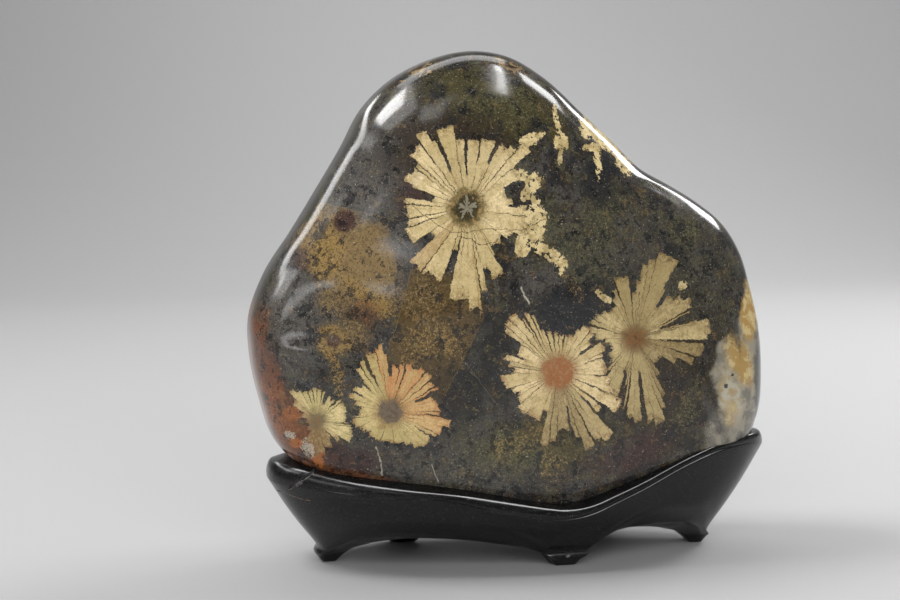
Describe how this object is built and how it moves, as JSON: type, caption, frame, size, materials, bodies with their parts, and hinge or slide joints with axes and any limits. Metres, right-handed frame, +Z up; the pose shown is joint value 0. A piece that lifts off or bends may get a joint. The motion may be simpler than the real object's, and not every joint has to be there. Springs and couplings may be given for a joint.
{
  "type": "scholars rock",
  "caption": "Polished chrysanthemum stone, peaked and flat-faced, standing in a carved black wooden stand with a rolled lip and small feet.",
  "frame": {"origin": "on the surface the feet stand on, under the middle of the object's bounding box", "axes": "+Z up, +X along the stand's length to the right end as seen from the show side, +Y away from the show side through the thickness"},
  "size_m": [0.2462, 0.1, 0.2346],
  "materials": {
    "polished_stone": "polished, charcoal ground with cream flower-shaped crystal clusters",
    "black_lacquer": "satin black lacquer"
  },
  "bodies": {
    "root": {"stone": "polished_stone", "stand": "black_lacquer"}
  },
  "joints": []
}
